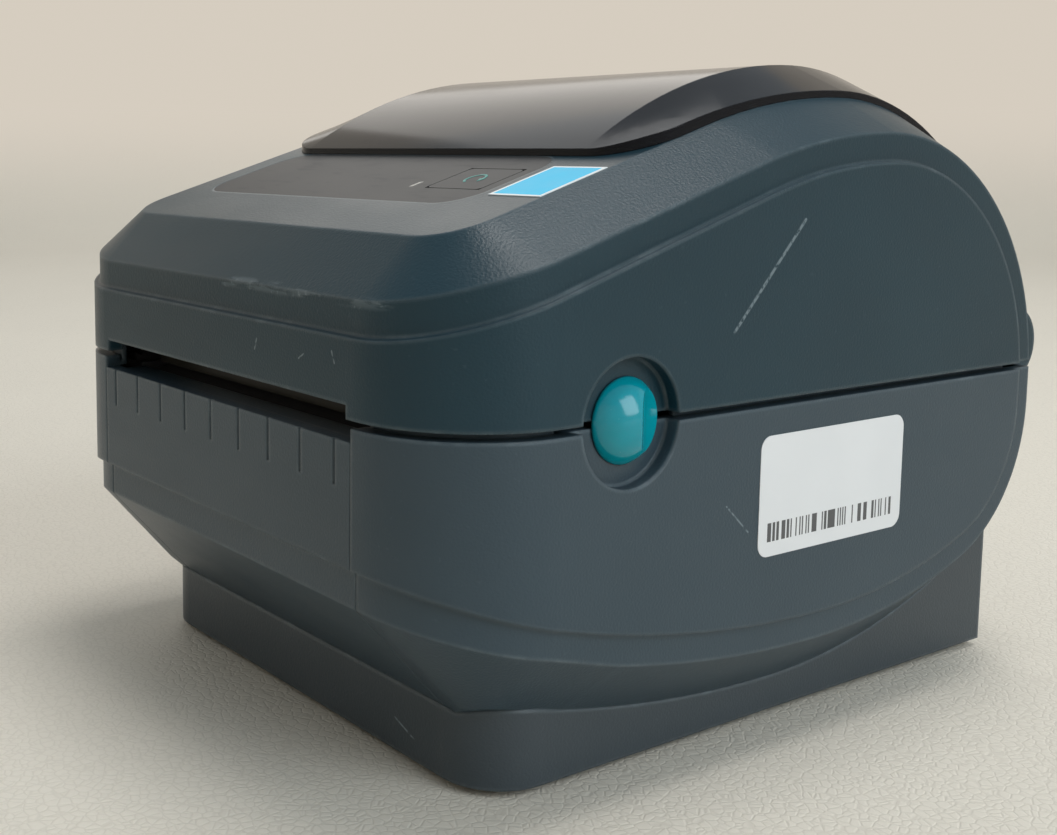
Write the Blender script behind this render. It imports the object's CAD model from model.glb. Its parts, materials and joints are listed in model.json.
import json
import math
import bmesh
import bpy
from mathutils import Euler, Matrix, Vector

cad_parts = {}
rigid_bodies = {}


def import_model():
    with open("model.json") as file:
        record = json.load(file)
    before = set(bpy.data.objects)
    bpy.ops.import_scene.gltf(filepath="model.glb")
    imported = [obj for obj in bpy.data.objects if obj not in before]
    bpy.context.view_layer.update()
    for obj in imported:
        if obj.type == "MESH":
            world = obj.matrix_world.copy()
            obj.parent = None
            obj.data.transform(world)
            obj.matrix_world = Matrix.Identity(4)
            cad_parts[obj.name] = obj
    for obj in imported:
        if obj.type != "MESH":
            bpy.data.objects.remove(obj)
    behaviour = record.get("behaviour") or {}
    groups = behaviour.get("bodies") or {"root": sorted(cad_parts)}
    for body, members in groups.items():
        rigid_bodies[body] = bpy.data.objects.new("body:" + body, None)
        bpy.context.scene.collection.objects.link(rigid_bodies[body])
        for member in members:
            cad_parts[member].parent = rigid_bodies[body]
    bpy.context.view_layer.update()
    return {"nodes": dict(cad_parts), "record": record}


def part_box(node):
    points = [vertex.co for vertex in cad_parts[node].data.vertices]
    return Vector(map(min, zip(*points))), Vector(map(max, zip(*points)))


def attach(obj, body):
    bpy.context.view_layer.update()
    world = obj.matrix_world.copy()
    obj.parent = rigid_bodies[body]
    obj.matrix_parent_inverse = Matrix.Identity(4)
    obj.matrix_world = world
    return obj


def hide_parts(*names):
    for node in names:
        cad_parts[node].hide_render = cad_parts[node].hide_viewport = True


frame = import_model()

scene = bpy.context.scene
print("frame loaded:", len(frame["nodes"]), "nodes")


# camera at the photograph's angle
cameraSetup = {
    "place": (0.27264, -0.24935, 0.12989),
    "azimuth": 55.001,
    "elevation": 6.75,
    "roll": 0.345,
    "lens": 47.12,
    "sensor": 36,
    "shift": (0.14, -0.095),
    "near": 0.01,
}


def addCamera(setup):
    camera = bpy.data.objects.new("photoCamera", bpy.data.cameras.new("photoCamera"))
    scene.collection.objects.link(camera)
    aim = Euler((math.radians(90 - setup["elevation"]), 0, math.radians(setup["azimuth"]))).to_matrix()
    camera.rotation_euler = (aim @ Matrix.Rotation(math.radians(setup["roll"]), 3, "Z")).to_euler()
    camera.location = setup["place"]
    camera.data.sensor_width = setup["sensor"]
    camera.data.lens = setup["lens"]
    camera.data.shift_x, camera.data.shift_y = setup["shift"]
    camera.data.clip_start = setup["near"]
    scene.camera = camera


addCamera(cameraSetup)
scene.view_settings.view_transform = "Standard"
print("camera set")


# one socket of a node tree, with arithmetic that adds Math nodes
class Wire:
    def __init__(self, socket):
        self.socket = socket

    def node(self, kind, settings, inputs, output=0):
        tree = self.socket.id_data
        made = tree.nodes.new("ShaderNode" + kind)
        for name, value in settings.items():
            setattr(made, name, value)
        for name, value in inputs.items():
            if isinstance(value, Wire):
                tree.links.new(value.socket, made.inputs[name])
            else:
                made.inputs[name].default_value = value
        return Wire(made.outputs[output])

    def maths(self, operation, first, second=0.0):
        return self.node("Math", {"operation": operation}, {0: first, 1: second})

    def __add__(self, other):
        return self.maths("ADD", self, other)

    def __radd__(self, other):
        return self.maths("ADD", other, self)

    def __sub__(self, other):
        return self.maths("SUBTRACT", self, other)

    def __rsub__(self, other):
        return self.maths("SUBTRACT", other, self)

    def __mul__(self, other):
        return self.maths("MULTIPLY", self, other)

    def __lt__(self, other):
        return self.maths("LESS_THAN", self, other)

    def __gt__(self, other):
        return self.maths("GREATER_THAN", self, other)


def rgba(colour):
    return (*colour, 1.0)


def newLook(name):
    look = bpy.data.materials.new(name)
    look.use_nodes = True
    shader = look.node_tree.nodes["Principled BSDF"]
    coords = look.node_tree.nodes.new("ShaderNodeTexCoord")
    return look, shader, Wire(coords.outputs["Object"])


def feed(shader, socket, value):
    if isinstance(value, Wire):
        shader.id_data.links.new(value.socket, shader.inputs[socket])
    else:
        shader.inputs[socket].default_value = value


def noise(coords, scale, detail):
    return coords.node("TexNoise", {}, {"Vector": coords, "Scale": scale, "Detail": detail})


def streaks(coords, stretch, detail):
    stretched = coords.node("Mapping", {}, {"Vector": coords, "Scale": stretch})
    return noise(stretched, 1.0, detail)


def mixColour(amount, first, second):
    return amount.node("Mix", {"data_type": "RGBA"}, {0: amount, 6: first, 7: second}, 2)


def ramp(value, low, high):
    span = {"Value": value, "From Min": low, "From Max": high}
    return value.node("MapRange", {"interpolation_type": "SMOOTHSTEP"}, span)


def bump(height, strength, distance, normal=None):
    inputs = {"Height": height, "Strength": strength, "Distance": distance}
    if normal is not None:
        inputs["Normal"] = normal
    return height.node("Bump", {}, inputs)


def axes(coords):
    split = coords.node("SeparateXYZ", {}, {0: coords})
    return [Wire(socket) for socket in split.socket.node.outputs]


# how far the rounded normal must lean from the face to count as an edge
edgeMask = {"samples": 4, "range": (0.004, 0.06)}


def softEdge(coords, radius):
    # normal that turns smoothly over an edge, and a mask of how near the edge is
    rounded = coords.node("Bevel", {"samples": edgeMask["samples"]}, {"Radius": radius})
    facing = coords.node("NewGeometry", {}, {}, "Normal")
    agreement = coords.node("VectorMath", {"operation": "DOT_PRODUCT"}, {0: rounded, 1: facing}, "Value")
    return rounded, ramp(1.0 - agreement, *edgeMask["range"])


# share of a scratch's half width that is at full strength
scratchCore = 0.4


def scratch(coords, start, end, width):
    # mask of a thin line from start to end
    start, along = Vector(start), Vector(end) - Vector(start)
    share = along / along.length_squared
    offset = coords.node("VectorMath", {"operation": "SUBTRACT"}, {0: coords, 1: start})
    run = coords.node("VectorMath", {"operation": "DOT_PRODUCT"}, {0: offset, 1: share}, "Value")
    run = run.node("Clamp", {}, {"Value": run})
    foot = coords.node("VectorMath", {"operation": "SCALE"}, {0: along, "Scale": run})
    gap = coords.node("VectorMath", {"operation": "DISTANCE"}, {0: offset, 1: foot}, "Value")
    return 1.0 - ramp(gap, width * scratchCore, width)


# moulded plastic of the cover, the housing and the pedestal
coverFinish = {
    "dark": (0.0055, 0.0245, 0.037),
    "light": (0.0095, 0.0365, 0.0525),
    "worn": (0.2, 0.25, 0.28),
    "cloudScale": 22.0,
    "gloss": 0.3,
    "roughness": 0.27,
    "smearStretch": (30.0, 30.0, 130.0),
    "smearRoughness": 0.12,
    "wearPolish": 0.1,
    "grainScale": 1800,
    "grainRoughness": 0.06,
    "grainStrength": 0.6,
    "grainDepth": 0.00011,
    "speckScale": 700.0,
    "speckRange": (0.68, 0.78),
    "speckWear": 0.05,
    "edge": 0.0013,
    "edgeWear": 0.28,
    "blotchScale": 160.0,
    "blotchRange": (0.5, 0.72),
    "blotchWear": 0.25,
    "crease": ((0.004, -0.1035, 0.1022), (0.072, -0.1035, 0.1022), 0.0019),
    "rubStretch": (90.0, 500.0, 500.0),
    "rubRange": (0.48, 0.62),
    "rubWear": 0.25,
    "pitScale": 800.0,
    "pitRange": (0.6, 0.7),
    "pitWear": 0.4,
    "breakScale": 900.0,
    "breakRange": (0.3, 0.55),
    "scratchWear": 0.7,
    "scratches": [
        ((0.0855, -0.0094, 0.1166), (0.0855, -0.0304, 0.0942), 0.0005),
        ((0.021, -0.105, 0.091), (0.0201, -0.105, 0.0887), 0.0003),
        ((0.05, -0.105, 0.0918), (0.051, -0.105, 0.0896), 0.0003),
        ((0.0397, -0.105, 0.09), (0.0378, -0.105, 0.0889), 0.00025),
    ],
}
housingFinish = dict(
    coverFinish, dark=(0.024, 0.044, 0.06), light=(0.037, 0.06, 0.078), gloss=0.38,
    scratches=[((0.0855, -0.031, 0.058), (0.0855, -0.024, 0.0515), 0.00025)],
)
trayFinish = dict(
    coverFinish, dark=(0.03, 0.042, 0.052), light=(0.042, 0.055, 0.066), gloss=0.4,
    scratches=[((0.04, -0.082, 0.009), (0.047, -0.082, 0.0065), 0.0003)],
)


def mouldedPlastic(name, finish):
    look, shader, coords = newLook(name)
    rounded, edge = softEdge(coords, finish["edge"])
    cloud = noise(coords, finish["cloudScale"], 3.0)
    smear = streaks(coords, finish["smearStretch"], 3.0)
    grain = noise(coords, finish["grainScale"], 1.0)
    speck = ramp(noise(coords, finish["speckScale"], 2.0), *finish["speckRange"])
    blotch = ramp(noise(coords, finish["blotchScale"], 3.0), *finish["blotchRange"])
    broken = ramp(noise(coords, finish["breakScale"], 2.0), *finish["breakRange"])
    pits = ramp(noise(coords, finish["pitScale"], 2.0), *finish["pitRange"])
    rubbed = ramp(streaks(coords, finish["rubStretch"], 3.0), *finish["rubRange"])
    rubbed = scratch(coords, *finish["crease"]) * rubbed
    wear = edge * (finish["edgeWear"] + blotch * finish["blotchWear"]) + speck * finish["speckWear"]
    for line in finish["scratches"]:
        wear = wear + scratch(coords, *line) * broken * finish["scratchWear"]
    wear = wear + rubbed * (finish["rubWear"] + pits * finish["pitWear"])
    colour = mixColour(cloud, rgba(finish["dark"]), rgba(finish["light"]))
    colour = mixColour(wear.node("Clamp", {}, {"Value": wear}), colour, rgba(finish["worn"]))
    roughness = finish["roughness"] + smear * finish["smearRoughness"] - wear * finish["wearPolish"]
    feed(shader, "Base Color", colour)
    feed(shader, "Roughness", roughness + grain * finish["grainRoughness"])
    feed(shader, "Specular IOR Level", finish["gloss"])
    height = grain * (1.0 - rubbed)
    feed(shader, "Normal", bump(height, finish["grainStrength"], finish["grainDepth"], rounded))
    return look


# smoked window, glossy with faint polishing marks and dust
windowFinish = {
    "colour": (0.006, 0.007, 0.01),
    "dust": (0.14, 0.145, 0.15),
    "dustScale": 1300.0,
    "dustRange": (0.7, 0.8),
    "dustShade": 0.5,
    "hazeScale": 40.0,
    "hazeRange": (0.45, 0.7),
    "edge": 0.0004,
    "edgeShade": 0.03,
    "roughness": 0.07,
    "hazeRoughness": 0.08,
    "wipeRoughness": 0.04,
    "dustRoughness": 0.3,
    "gloss": 0.14,
    "wipeStretch": (25.0, 300.0, 300.0),
    "wipeStrength": 0.03,
    "wipeDepth": 0.0001,
    "alpha": 0.94,
}


def smokedWindow(name, finish):
    look, shader, coords = newLook(name)
    rounded, edge = softEdge(coords, finish["edge"])
    haze = noise(coords, finish["hazeScale"], 4.0)
    dust = ramp(noise(coords, finish["dustScale"], 2.0), *finish["dustRange"])
    dust = dust * ramp(haze, *finish["hazeRange"])
    wipe = streaks(coords, finish["wipeStretch"], 2.0)
    shade = dust * finish["dustShade"] + edge * finish["edgeShade"]
    roughness = finish["roughness"] + haze * finish["hazeRoughness"] + wipe * finish["wipeRoughness"]
    feed(shader, "Base Color", mixColour(shade, rgba(finish["colour"]), rgba(finish["dust"])))
    feed(shader, "Roughness", roughness + dust * finish["dustRoughness"])
    feed(shader, "Specular IOR Level", finish["gloss"])
    feed(shader, "Normal", bump(wipe, finish["wipeStrength"], finish["wipeDepth"], rounded))
    feed(shader, "Alpha", finish["alpha"])
    return look


# satin film of the control panel
overlayFinish = {
    "dark": (0.022, 0.024, 0.027),
    "light": (0.03, 0.032, 0.035),
    "cloudScale": 60.0,
    "rubStretch": (90.0, 400.0, 400.0),
    "rubRange": (0.55, 0.75),
    "roughness": 0.4,
    "cloudRoughness": 0.04,
    "rubRoughness": 0.03,
    "gloss": 0.15,
    "grainScale": 3500.0,
    "grainStrength": 0.25,
    "grainDepth": 0.00002,
}


def satinFilm(name, finish):
    look, shader, coords = newLook(name)
    cloud = noise(coords, finish["cloudScale"], 3.0)
    grain = noise(coords, finish["grainScale"], 1.0)
    rub = ramp(streaks(coords, finish["rubStretch"], 2.0), *finish["rubRange"])
    roughness = finish["roughness"] + cloud * finish["cloudRoughness"] + rub * finish["rubRoughness"]
    feed(shader, "Base Color", mixColour(cloud, rgba(finish["dark"]), rgba(finish["light"])))
    feed(shader, "Roughness", roughness)
    feed(shader, "Specular IOR Level", finish["gloss"])
    feed(shader, "Normal", bump(grain, finish["grainStrength"], finish["grainDepth"]))
    return look


# polished teal of the release buttons
latchFinish = {
    "deep": (0.0, 0.22, 0.28),
    "bright": (0.0, 0.3, 0.38),
    "edge": 0.0006,
    "flowScale": 90.0,
    "flowStrength": 0.08,
    "flowDepth": 0.0002,
    "scuffStretch": (900.0, 250.0, 900.0),
    "scuffRange": (0.66, 0.78),
    "roughness": 0.1,
    "flowRoughness": 0.06,
    "scuffRoughness": 0.2,
}


def polishedTeal(name, finish):
    look, shader, coords = newLook(name)
    rounded = softEdge(coords, finish["edge"])[0]
    flow = noise(coords, finish["flowScale"], 3.0)
    scuff = ramp(streaks(coords, finish["scuffStretch"], 2.0), *finish["scuffRange"])
    roughness = finish["roughness"] + flow * finish["flowRoughness"] + scuff * finish["scuffRoughness"]
    feed(shader, "Base Color", mixColour(flow, rgba(finish["deep"]), rgba(finish["bright"])))
    feed(shader, "Roughness", roughness)
    feed(shader, "Normal", bump(flow, finish["flowStrength"], finish["flowDepth"], rounded))
    return look


# plainer plastics, rubbers and the circuit board: two shades, a roughness and a grain
plainFinishes = {
    "innerPlastic": {
        "dark": (0.032, 0.034, 0.038), "light": (0.05, 0.053, 0.058),
        "roughness": 0.43, "grain": 1800, "depth": 0.00003,
    },
    "gearPlastic": {
        "dark": (0.03, 0.03, 0.032), "light": (0.05, 0.05, 0.052),
        "roughness": 0.35, "grain": 900, "depth": 0.00002,
    },
    "socketPlastic": {
        "dark": (0.014, 0.014, 0.016), "light": (0.026, 0.026, 0.028),
        "roughness": 0.35, "grain": 2600, "depth": 0.00002,
    },
    "platenRubber": {
        "dark": (0.008, 0.008, 0.009), "light": (0.016, 0.016, 0.017),
        "roughness": 0.65, "grain": 2200, "depth": 0.00005,
    },
    "footRubber": {
        "dark": (0.014, 0.014, 0.014), "light": (0.03, 0.03, 0.03),
        "roughness": 0.73, "grain": 1200, "depth": 0.00008,
    },
    "circuitBoard": {
        "dark": (0.008, 0.09, 0.035), "light": (0.016, 0.15, 0.06),
        "roughness": 0.29, "grain": 1400, "depth": 0.00002,
    },
    "lightPlastic": {
        "dark": (0.1, 0.11, 0.1), "light": (0.16, 0.17, 0.16),
        "roughness": 0.18, "grain": 900, "depth": 0.00001,
    },
    "iconTeal": {
        "dark": (0.0, 0.22, 0.2), "light": (0.02, 0.34, 0.31),
        "roughness": 0.33, "grain": 3000, "depth": 0.00001,
    },
}
plainShare = {
    "edge": 0.0004,
    "edgeShade": 0.3,
    "cloudScale": 70.0,
    "cloudShade": 0.8,
    "cloudRoughness": 0.14,
    "grainStrength": 0.5,
}


def plainLook(name):
    finish = dict(plainShare, **plainFinishes[name])
    look, shader, coords = newLook(name)
    rounded, edge = softEdge(coords, finish["edge"])
    cloud = noise(coords, finish["cloudScale"], 3.0)
    grain = noise(coords, finish["grain"], 1.0)
    shade = cloud * finish["cloudShade"] + edge * finish["edgeShade"]
    feed(shader, "Base Color", mixColour(shade, rgba(finish["dark"]), rgba(finish["light"])))
    feed(shader, "Roughness", finish["roughness"] + cloud * finish["cloudRoughness"])
    feed(shader, "Normal", bump(grain, finish["grainStrength"], finish["depth"], rounded))
    return look


# metals: brushed one way, with a little stain
metalFinishes = {
    "groundSteel": {
        "dark": (0.24, 0.24, 0.25), "light": (0.38, 0.38, 0.39),
        "roughness": 0.22, "brush": (60.0, 2600.0, 2600.0),
    },
    "motorSteel": {
        "dark": (0.26, 0.26, 0.27), "light": (0.4, 0.4, 0.41),
        "roughness": 0.34, "brush": (2200.0, 90.0, 90.0),
    },
    "socketSteel": {
        "dark": (0.5, 0.5, 0.51), "light": (0.66, 0.66, 0.67),
        "roughness": 0.24, "brush": (1500.0, 80.0, 1500.0),
    },
    "sinkAluminium": {
        "dark": (0.55, 0.55, 0.56), "light": (0.72, 0.72, 0.73),
        "roughness": 0.28, "brush": (50.0, 2200.0, 2200.0),
    },
}
metalShare = {
    "stainScale": 55.0,
    "stainShade": 0.6,
    "brushShade": 0.4,
    "brushRoughness": 0.16,
    "brushStrength": 0.15,
    "brushDepth": 0.00003,
}


def brushedMetal(name):
    finish = dict(metalShare, **metalFinishes[name])
    look, shader, coords = newLook(name)
    brush = streaks(coords, finish["brush"], 2.0)
    stain = noise(coords, finish["stainScale"], 3.0)
    shade = stain * finish["stainShade"] + brush * finish["brushShade"]
    feed(shader, "Base Color", mixColour(shade, rgba(finish["dark"]), rgba(finish["light"])))
    feed(shader, "Roughness", finish["roughness"] + brush * finish["brushRoughness"])
    feed(shader, "Normal", bump(brush, finish["brushStrength"], finish["brushDepth"]))
    feed(shader, "Metallic", 1.0)
    return look


# glazed printhead with its heater line along the front
headFinish = {
    "glaze": (0.045, 0.042, 0.036),
    "line": (0.16, 0.14, 0.1),
    "lineY": (-0.0885, -0.0865),
    "lineShade": 0.8,
    "cloudScale": 130.0,
    "cloudShade": 0.15,
    "roughness": 0.16,
    "cloudRoughness": 0.14,
    "cloudStrength": 0.1,
    "cloudDepth": 0.00005,
}


def glazedCeramic(name, finish):
    look, shader, coords = newLook(name)
    y = axes(coords)[1]
    front, rear = finish["lineY"]
    cloud = noise(coords, finish["cloudScale"], 3.0)
    shade = (y > front) * (y < rear) * finish["lineShade"] + cloud * finish["cloudShade"]
    feed(shader, "Base Color", mixColour(shade, rgba(finish["glaze"]), rgba(finish["line"])))
    feed(shader, "Roughness", finish["roughness"] + cloud * finish["cloudRoughness"])
    feed(shader, "Normal", bump(cloud, finish["cloudStrength"], finish["cloudDepth"]))
    return look


# blue square with a white border
stickerFinish = {
    "blue": (0.0, 0.54, 0.84),
    "deepBlue": (0.0, 0.48, 0.78),
    "white": (0.76, 0.8, 0.82),
    "insideX": (0.0538, 0.0682),
    "insideY": (-0.0683, -0.0518),
    "fadeScale": 120.0,
    "roughness": 0.34,
    "fadeRoughness": 0.12,
    "gloss": 0.2,
    "grainScale": 2500.0,
    "grainStrength": 0.2,
    "grainDepth": 0.00001,
}


def borderedSticker(name, finish):
    look, shader, coords = newLook(name)
    x, y = axes(coords)[:2]
    (left, right), (front, rear) = finish["insideX"], finish["insideY"]
    inside = (x > left) * (x < right) * (y > front) * (y < rear)
    fade = noise(coords, finish["fadeScale"], 2.0)
    grain = noise(coords, finish["grainScale"], 1.0)
    blue = mixColour(fade, rgba(finish["deepBlue"]), rgba(finish["blue"]))
    feed(shader, "Base Color", mixColour(inside, rgba(finish["white"]), blue))
    feed(shader, "Roughness", finish["roughness"] + fade * finish["fadeRoughness"])
    feed(shader, "Specular IOR Level", finish["gloss"])
    feed(shader, "Normal", bump(grain, finish["grainStrength"], finish["grainDepth"]))
    return look


# coated paper with a plain row of bars
labelFinish = {
    "paper": (0.72, 0.73, 0.75),
    "shade": (0.64, 0.65, 0.67),
    "shadeScale": 45.0,
    "ink": (0.03, 0.03, 0.032),
    "inkCover": 0.92,
    "barsY": (-0.0184, 0.0258),
    "barsZ": (0.0484, 0.0525),
    "barWidth": 0.00042,
    "barChance": 0.5,
    "fibreScale": 900.0,
    "roughness": 0.5,
    "fibreRoughness": 0.12,
    "fibreStrength": 0.2,
    "fibreDepth": 0.00002,
}


def barredPaper(name, finish):
    look, shader, coords = newLook(name)
    y, z = axes(coords)[1:]
    (front, rear), (low, high) = finish["barsY"], finish["barsZ"]
    column = y.maths("FLOOR", y * (1 / finish["barWidth"]))
    chance = column.node("TexWhiteNoise", {"noise_dimensions": "1D"}, {"W": column})
    bars = (chance > finish["barChance"]) * (y > front) * (y < rear) * (z > low) * (z < high)
    fibre = noise(coords, finish["fibreScale"], 3.0)
    paper = mixColour(noise(coords, finish["shadeScale"], 2.0), rgba(finish["shade"]), rgba(finish["paper"]))
    feed(shader, "Base Color", mixColour(bars * finish["inkCover"], paper, rgba(finish["ink"])))
    feed(shader, "Roughness", finish["roughness"] + fibre * finish["fibreRoughness"])
    feed(shader, "Normal", bump(fibre, finish["fibreStrength"], finish["fibreDepth"]))
    return look


looks = {
    "cover_plastic": mouldedPlastic("coverPlastic", coverFinish),
    "housing_plastic": mouldedPlastic("housingPlastic", housingFinish),
    "tray_plastic": mouldedPlastic("trayPlastic", trayFinish),
    "window_plastic": smokedWindow("windowPlastic", windowFinish),
    "overlay_film": satinFilm("overlayFilm", overlayFinish),
    "latch_plastic": polishedTeal("latchPlastic", latchFinish),
    "inner_plastic": plainLook("innerPlastic"),
    "bare_steel": brushedMetal("groundSteel"),
    "motor_steel": brushedMetal("motorSteel"),
    "platen_rubber": plainLook("platenRubber"),
    "foot_rubber": plainLook("footRubber"),
    "gear_plastic": plainLook("gearPlastic"),
    "circuit_board": plainLook("circuitBoard"),
    "head_ceramic": glazedCeramic("headCeramic", headFinish),
    "sink_aluminium": brushedMetal("sinkAluminium"),
    "socket_steel": brushedMetal("socketSteel"),
    "socket_plastic": plainLook("socketPlastic"),
    "light_plastic": plainLook("lightPlastic"),
    "blue_sticker": borderedSticker("blueSticker", stickerFinish),
    "white_label": barredPaper("whiteLabel", labelFinish),
}
for subpart in frame["record"]["subparts"]:
    for slot in bpy.data.objects[subpart["node"]].material_slots:
        slot.material = looks[subpart["material_slot"]]
print("finishes set:", len(looks))


# a finished bmesh becomes a piece that rides on a body
def addPiece(name, mesh, look, body):
    bmesh.ops.recalc_face_normals(mesh, faces=mesh.faces)
    data = bpy.data.meshes.new(name)
    mesh.to_mesh(data)
    mesh.free()
    data.materials.append(look)
    piece = bpy.data.objects.new(name, data)
    scene.collection.objects.link(piece)
    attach(piece, body)
    return piece


# points on the cover's sloped face, by distance across, along the slope and above it
slope = {"tilt": 17.6, "frontY": -0.1035, "frontZ": 0.10227, "rise": 0.008}


def onSlope(across, along, lift):
    turn = Matrix.Rotation(math.radians(slope["tilt"]), 4, "X")
    start = Matrix.Translation((0, slope["frontY"], slope["frontZ"]))
    return start @ turn @ Matrix.Translation((across, along, slope["rise"] + lift))


# feed mark on the button: a short open ring with an arrow head
feedMark = {
    "across": 0.0372,
    "along": 0.0486,
    "radius": 0.0022,
    "band": 0.0006,
    "thick": 0.00006,
    "turn": 250,
    "steps": 24,
    "headBands": 3,
}


def addFeedMark(setup):
    mesh = bmesh.new()
    band, thick = setup["band"], setup["thick"]
    inner, outer = setup["radius"], setup["radius"] + band
    ends = [mesh.verts.new((reach, 0, 0)) for reach in (inner, outer)]
    edge = mesh.edges.new(ends)
    bmesh.ops.spin(mesh, geom=[*ends, edge], cent=(0, 0, 0), axis=(0, 0, 1),
                   angle=math.radians(setup["turn"]), steps=setup["steps"])
    tip = ((inner + outer) / 2, -setup["headBands"] * band, 0)
    head = [(inner - band, 0, 0), tip, (outer + band, 0, 0)]
    mesh.faces.new([mesh.verts.new(point) for point in head])
    mesh.normal_update()
    for face in mesh.faces:
        if face.normal.z < 0:
            face.normal_flip()
    bmesh.ops.solidify(mesh, geom=mesh.faces[:], thickness=thick)
    bmesh.ops.transform(mesh, matrix=onSlope(setup["across"], setup["along"], thick), verts=mesh.verts)
    addPiece("feedMark", mesh, plainLook("iconTeal"), "feed_key")


addFeedMark(feedMark)


# coil springs over the heat sink, in place of the plain sleeves
headSpring = {"x": 0.036, "radius": 0.0028, "wire": 0.0004, "turns": 5.5, "steps": 22, "sides": 8}


def addHeadSprings(setup):
    low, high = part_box("head_springs")
    wire = setup["wire"]
    steps = int(setup["turns"] * setup["steps"])
    rise = (high[2] - low[2] - 2 * wire) / steps
    mesh = bmesh.new()
    for side in (1, -1):
        centre = Vector((side * setup["x"], (low[1] + high[1]) / 2, low[2] + wire))
        start = Matrix.Translation(centre + Vector((setup["radius"], 0, 0)))
        stand = start @ Matrix.Rotation(math.radians(90), 4, "X")
        ring = bmesh.ops.create_circle(mesh, cap_ends=True, radius=wire, segments=setup["sides"],
                                       matrix=stand)["verts"]
        faces = list({face for vert in ring for face in vert.link_faces})
        bmesh.ops.spin(mesh, geom=faces, cent=centre, axis=(0, 0, 1), dvec=(0, 0, rise),
                       angle=math.radians(360 * setup["turns"]), steps=steps)
    springs = addPiece("headCoils", mesh, looks["bare_steel"], "head_unit")
    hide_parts("head_springs")


addHeadSprings(headSpring)


# cross-head screws under the pedestal
trayScrews = {
    "radius": 0.003,
    "segments": 24,
    "height": 0.0009,
    "reach": 0.0017,
    "half": 0.0004,
    "depth": 0.0007,
    "x": (-0.05, 0.05),
    "y": (-0.045, 0.05),
}


def fillScrew(mesh, setup, place):
    reach, half = setup["reach"], setup["half"]
    rim = bmesh.ops.create_circle(mesh, radius=setup["radius"], segments=setup["segments"])["verts"]
    arm = [Vector((reach, -half, 0)), Vector((reach, half, 0)), Vector((half, half, 0))]
    quarters = [Matrix.Rotation(math.radians(90 * turn), 3, "Z") for turn in range(4)]
    cross = [mesh.verts.new(quarter @ point) for quarter in quarters for point in arm]
    rimEdges = list({edge for vert in rim for edge in vert.link_edges})
    crossEdges = [mesh.edges.new((cross[spot - 1], cross[spot])) for spot in range(len(cross))]
    bmesh.ops.triangle_fill(mesh, use_beauty=True, edges=rimEdges + crossEdges)
    made = rim + cross
    for edges, drop in ((rimEdges, setup["height"]), (crossEdges, setup["depth"])):
        lower = bmesh.ops.extrude_edge_only(mesh, edges=edges)["geom"]
        sunk = [item for item in lower if isinstance(item, bmesh.types.BMVert)]
        bmesh.ops.translate(mesh, verts=sunk, vec=(0, 0, -drop))
        loop = [item for item in lower if isinstance(item, bmesh.types.BMEdge)]
        bmesh.ops.contextual_create(mesh, geom=loop)
        made = made + sunk
    bmesh.ops.transform(mesh, matrix=place @ Matrix.Translation((0, 0, setup["height"])), verts=made)


def addTrayScrews(setup):
    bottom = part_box("base_tray")[0][2]
    mesh = bmesh.new()
    for x in setup["x"]:
        for y in setup["y"]:
            fillScrew(mesh, setup, Matrix.Translation((x, y, bottom)) @ Matrix.Rotation(math.pi, 4, "X"))
    addPiece("trayScrews", mesh, looks["bare_steel"], "base")


addTrayScrews(trayScrews)
print("pieces added")


# stage: a pale bowl, a key from above, a cool fill from the right, a weak rear light and an open sky
stageSetup = {
    "radius": 2.4,
    "bend": 0.9,
    "bendSteps": 12,
    "turnSteps": 72,
    "weld": 0.0001,
    "wall": 1.7,
    "floor": (0.72, 0.672, 0.59),
    "shade": (0.38, 0.34, 0.29),
    "cloudScale": 5.0,
    "cloudShade": 0.12,
    "pebbleScale": 460.0,
    "pebbleRise": (0.0, 0.16),
    "creaseReach": (0.0, 0.1),
    "creaseShade": 0.16,
    "fibreScale": 700.0,
    "fibreHeight": 0.3,
    "roughness": 0.62,
    "bumpStrength": 0.3,
    "bumpDepth": 0.0003,
    "back": (0.67, 0.61, 0.525),
    "backRise": (0.0, 0.2),
    "aim": (0, 0, 0.08),
    "key": {"place": (0.1, 0.3, 1.9), "size": 0.7, "power": 15, "colour": (1.0, 0.98, 0.95)},
    "fill": {"place": (1.9, 0.5, 1.1), "size": 1.4, "power": 26, "colour": (0.84, 0.94, 1.0)},
    "rear": {"place": (-1.6, 1.1, 1.25), "size": 1.1, "power": 3.4, "colour": (1.0, 0.98, 0.95)},
    "sky": (0.86, 0.94, 1.0),
    "skyStrength": 0.5,
}


def bowlMesh(setup):
    mesh = bmesh.new()
    bend, flat, steps = setup["bend"], setup["radius"] - setup["bend"], setup["bendSteps"]
    angles = [math.radians(90 * step / steps) for step in range(1, steps + 1)]
    points = [(0, 0, 0), (flat, 0, 0)]
    points += [(flat + bend * math.sin(angle), 0, bend - bend * math.cos(angle)) for angle in angles]
    points.append((setup["radius"], 0, setup["wall"]))
    profile = [mesh.verts.new(point) for point in points]
    lines = [mesh.edges.new(pair) for pair in zip(profile, profile[1:])]
    bmesh.ops.spin(mesh, geom=profile + lines, cent=(0, 0, 0), axis=(0, 0, 1), angle=math.radians(360),
                   steps=setup["turnSteps"], use_merge=True)
    bmesh.ops.remove_doubles(mesh, verts=mesh.verts, dist=setup["weld"])
    bmesh.ops.recalc_face_normals(mesh, faces=mesh.faces)
    for face in mesh.faces:
        face.smooth = True
    data = bpy.data.meshes.new("paleBowl")
    mesh.to_mesh(data)
    mesh.free()
    return data


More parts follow.
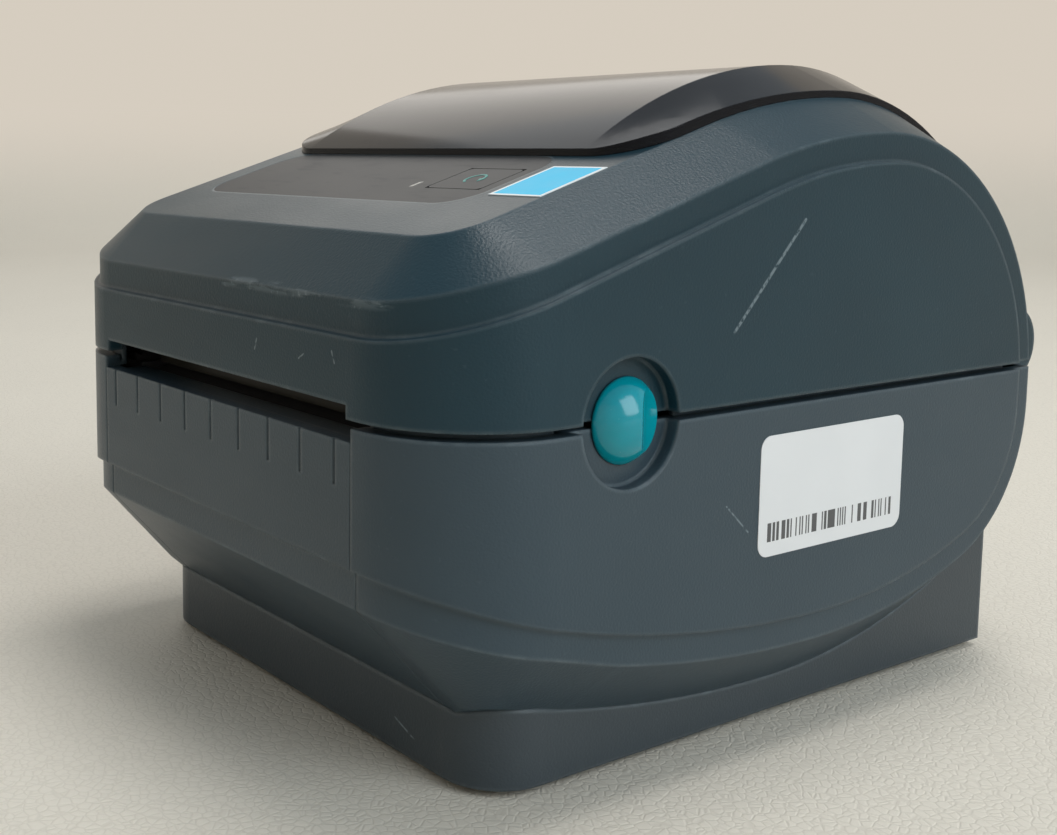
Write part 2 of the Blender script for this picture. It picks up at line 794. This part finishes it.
def bowlLook(setup):
    # creased leather, glowing evenly above the floor where the camera or a reflection sees it
    look, shader, coords = newLook("palePaper")
    edges = {"Vector": coords, "Scale": setup["pebbleScale"]}
    pebble = coords.node("TexVoronoi", {"feature": "DISTANCE_TO_EDGE"}, edges)
    crease = 1.0 - ramp(pebble, *setup["creaseReach"])
    fibre = noise(coords, setup["fibreScale"], 2.0)
    cloud = noise(coords, setup["cloudScale"], 3.0)
    height = ramp(pebble, *setup["pebbleRise"]) + fibre * setup["fibreHeight"]
    shaded = cloud * setup["cloudShade"] + crease * setup["creaseShade"]
    feed(shader, "Base Color", mixColour(shaded, rgba(setup["floor"]), rgba(setup["shade"])))
    feed(shader, "Roughness", setup["roughness"])
    feed(shader, "Normal", bump(height, setup["bumpStrength"], setup["bumpDepth"]))
    rays = coords.node("LightPath", {}, {}).socket.node.outputs
    seen = Wire(rays["Is Camera Ray"]) + Wire(rays["Is Glossy Ray"]) + Wire(rays["Is Transmission Ray"])
    shown = ramp(axes(coords)[2], *setup["backRise"]) * (seen > 0.5)
    backdrop = coords.node("Emission", {}, {"Color": rgba(setup["back"])})
    surface = coords.node("MixShader", {}, {0: shown, 1: Wire(shader.outputs[0]), 2: backdrop})
    feed(look.node_tree.nodes["Material Output"], "Surface", surface)
    return look


def addStage(setup):
    data = bowlMesh(setup)
    data.materials.append(bowlLook(setup))
    bowl = bpy.data.objects.new("paleBowl", data)
    scene.collection.objects.link(bowl)


def addLamp(name, setup, aim):
    lamp = bpy.data.objects.new(name, bpy.data.lights.new(name, "AREA"))
    lamp.data.size = setup["size"]
    lamp.data.energy = setup["power"]
    lamp.data.color = setup["colour"]
    lamp.location = setup["place"]
    lamp.rotation_euler = (Vector(aim) - lamp.location).to_track_quat("-Z", "Y").to_euler()
    scene.collection.objects.link(lamp)


def addSky(setup):
    sky = bpy.data.worlds.new("openSky")
    sky.use_nodes = True
    light = sky.node_tree.nodes["Background"]
    light.inputs["Color"].default_value = rgba(setup["sky"])
    light.inputs["Strength"].default_value = setup["skyStrength"]
    scene.world = sky


addStage(stageSetup)
for lampName in ("key", "fill", "rear"):
    addLamp(lampName + "Light", stageSetup[lampName], stageSetup["aim"])
addSky(stageSetup)
print("stage set")
